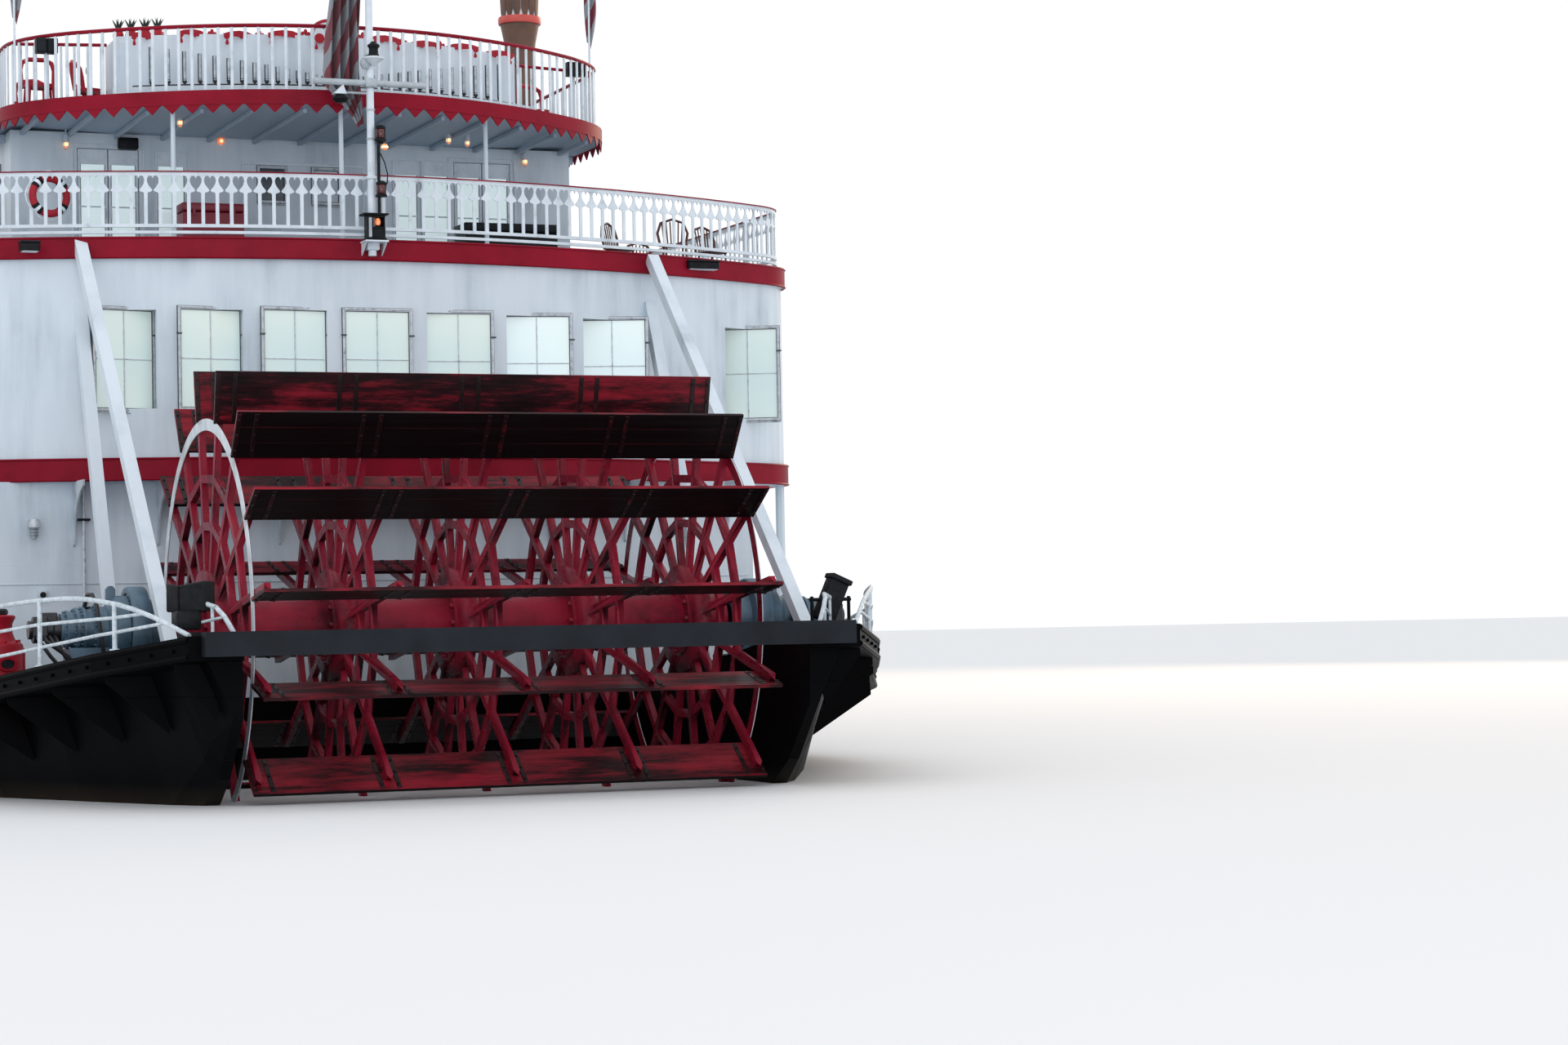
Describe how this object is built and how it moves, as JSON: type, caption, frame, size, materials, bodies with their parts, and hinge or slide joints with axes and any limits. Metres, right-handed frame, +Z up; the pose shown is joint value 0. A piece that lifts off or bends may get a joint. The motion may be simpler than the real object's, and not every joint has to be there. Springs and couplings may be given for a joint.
{
  "type": "sternwheel paddle steamer, 1:2 scale model",
  "caption": "Sternwheel passenger riverboat, half size: barge hull, three decks of houses, twin stacks, turning paddle wheel, rudders, capstans, doors and a landing stage.",
  "frame": {"origin": "centre of the bounding box at the flat underside of the hull", "axes": "+X towards the bow, +Y to port, +Z up"},
  "size_m": [29.8, 8.9, 9.45],
  "materials": {
    "hull_paint": "satin",
    "deck_paint": "matte",
    "white_paint": "satin",
    "door_paint": "satin",
    "red_paint": "satin",
    "wheel_paint": "satin",
    "machinery_paint": "satin",
    "stack_paint": "satin",
    "flag_cloth": "woven",
    "organ_metal": "brushed"
  },
  "bodies": {
    "boat": {"hull": "hull_paint", "main_deck": "deck_paint", "stern_beam": "deck_paint", "main_house_aft": "white_paint", "main_house_fore": "white_paint", "main_house_port": "white_paint", "main_house_stbd": "white_paint", "second_house_aft": "white_paint", "second_house_fore": "white_paint", "second_house_port": "white_paint", "second_house_stbd": "white_paint", "third_house_aft": "white_paint", "third_house_fore": "white_paint", "third_house_port": "white_paint", "third_house_stbd": "white_paint", "pilot_house": "white_paint", "outer_brace_port": "white_paint", "outer_brace_stbd": "white_paint", "inner_brace_port": "white_paint", "inner_brace_stbd": "white_paint", "third_rail": "white_paint", "roof_rail": "white_paint", "flagstaff": "white_paint", "jackstaff": "white_paint", "stage_mast": "white_paint", "fantail_rail_port": "white_paint", "fantail_rail_stbd": "white_paint", "second_deck": "red_paint", "third_deck": "red_paint", "roof_deck": "red_paint", "pilot_roof": "red_paint", "bearing_port": "machinery_paint", "bearing_stbd": "machinery_paint", "drive_port": "machinery_paint", "drive_stbd": "machinery_paint", "engine_block": "machinery_paint", "stack_port": "stack_paint", "stack_stbd": "stack_paint", "steam_organ": "organ_metal", "stern_flag": "flag_cloth"},
    "paddle_wheel": {"paddle_shaft": "wheel_paint", "paddle_boards": "wheel_paint", "spoke_wheel_1": "wheel_paint", "spoke_wheel_2": "wheel_paint", "spoke_wheel_3": "wheel_paint", "spoke_wheel_4": "wheel_paint", "spoke_wheel_5": "wheel_paint"},
    "rudder_blade_port": {"rudder_port": "hull_paint"},
    "rudder_blade_stbd": {"rudder_stbd": "hull_paint"},
    "stage": {"landing_stage": "white_paint"},
    "port_capstan": {"capstan_port": "red_paint"},
    "stbd_capstan": {"capstan_stbd": "red_paint"},
    "bow_capstan": {"capstan_bow": "red_paint"},
    "port_outer_leaf": {"door_port_outer": "door_paint"},
    "port_inner_leaf": {"door_port_inner": "door_paint"},
    "stbd_inner_leaf": {"door_stbd_inner": "door_paint"},
    "stbd_outer_leaf": {"door_stbd_outer": "door_paint"},
    "port_boarding_leaf": {"boarding_door_port": "red_paint"},
    "stbd_boarding_leaf": {"boarding_door_stbd": "red_paint"},
    "pilot_leaf": {"pilot_door": "door_paint"}
  },
  "joints": [
    {"name": "paddle_wheel_turn", "type": "hinge", "parent": "boat", "child": "paddle_wheel", "pos_m": [-12.65, 0, 2.3], "axis": [0, 1, 0], "continuous": true},
    {"name": "rudder_port_turn", "type": "hinge", "parent": "boat", "child": "rudder_blade_port", "pos_m": [-8.95, 1.05, 0.5], "axis": [0, 0, 1], "range_deg": [-35, 35]},
    {"name": "rudder_stbd_turn", "type": "hinge", "parent": "boat", "child": "rudder_blade_stbd", "pos_m": [-8.95, -1.05, 0.5], "axis": [0, 0, 1], "range_deg": [-35, 35]},
    {"name": "landing_stage_lift", "type": "hinge", "parent": "boat", "child": "stage", "pos_m": [10.65, 1.05, 2.1753], "axis": [0, -1, 0], "range_deg": [-14, 40]},
    {"name": "capstan_port_turn", "type": "hinge", "parent": "boat", "child": "port_capstan", "pos_m": [-11.45, 3.4, 2.1], "axis": [0, 0, 1], "continuous": true},
    {"name": "capstan_stbd_turn", "type": "hinge", "parent": "boat", "child": "stbd_capstan", "pos_m": [-11.45, -3.4, 2.1], "axis": [0, 0, 1], "continuous": true},
    {"name": "capstan_bow_turn", "type": "hinge", "parent": "boat", "child": "bow_capstan", "pos_m": [10.85, 0, 2], "axis": [0, 0, 1], "continuous": true},
    {"name": "door_port_outer_swing", "type": "hinge", "parent": "boat", "child": "port_outer_leaf", "pos_m": [-7.835, 2.03, 6.1], "axis": [0, 0, -1], "range_deg": [0, 95]},
    {"name": "door_port_inner_swing", "type": "hinge", "parent": "boat", "child": "port_inner_leaf", "pos_m": [-7.835, 1.52, 6.1], "axis": [0, 0, 1], "range_deg": [0, 95]},
    {"name": "door_stbd_inner_swing", "type": "hinge", "parent": "boat", "child": "stbd_inner_leaf", "pos_m": [-7.835, -1.52, 6.1], "axis": [0, 0, -1], "range_deg": [0, 95]},
    {"name": "door_stbd_outer_swing", "type": "hinge", "parent": "boat", "child": "stbd_outer_leaf", "pos_m": [-7.835, -2.03, 6.1], "axis": [0, 0, 1], "range_deg": [0, 95]},
    {"name": "boarding_door_port_swing", "type": "hinge", "parent": "boat", "child": "port_boarding_leaf", "pos_m": [-2.125, 3.685, 2.2], "axis": [0, 0, 1], "range_deg": [0, 95]},
    {"name": "boarding_door_stbd_swing", "type": "hinge", "parent": "boat", "child": "stbd_boarding_leaf", "pos_m": [-2.125, -3.685, 2.2], "axis": [0, 0, -1], "range_deg": [0, 95]},
    {"name": "pilot_door_swing", "type": "hinge", "parent": "boat", "child": "pilot_leaf", "pos_m": [2.365, 0.175, 7.45], "axis": [0, 0, -1], "range_deg": [0, 95]}
  ],
  "couplings": [
    {"joint": "rudder_stbd_turn", "follows": "rudder_port_turn", "ratio": 1}
  ]
}
